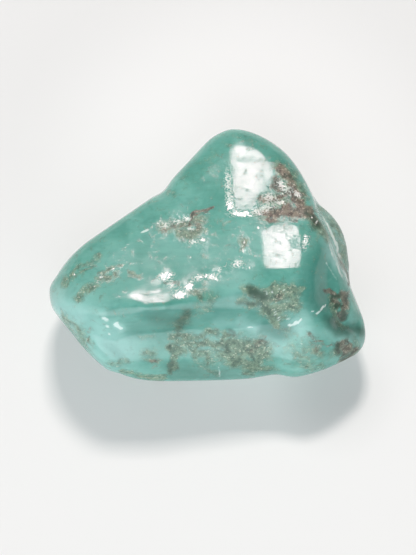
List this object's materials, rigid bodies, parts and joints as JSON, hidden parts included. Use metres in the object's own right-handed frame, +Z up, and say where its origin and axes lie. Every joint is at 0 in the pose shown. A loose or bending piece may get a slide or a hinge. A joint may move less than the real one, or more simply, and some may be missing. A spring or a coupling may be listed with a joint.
{
  "type": "raw turquoise nugget",
  "caption": "Tumbled nugget of turquoise: a lumpy wedge-shaped stone with a high ridge, a sloping table and a flat underside that it rests on.",
  "frame": {"origin": "middle of the bounding box at the height of the flat underside that the stone rests on", "axes": "+X along the stone towards its knob, +Y towards the peak, away from the ledge and the steep wall, +Z up from the flat underside through the sloping table"},
  "size_m": [0.0314, 0.0248, 0.0131],
  "materials": {
    "turquoise": "polished, with dull brown matrix"
  },
  "bodies": {
    "root": {"turquoise_nugget": "turquoise"}
  },
  "joints": []
}
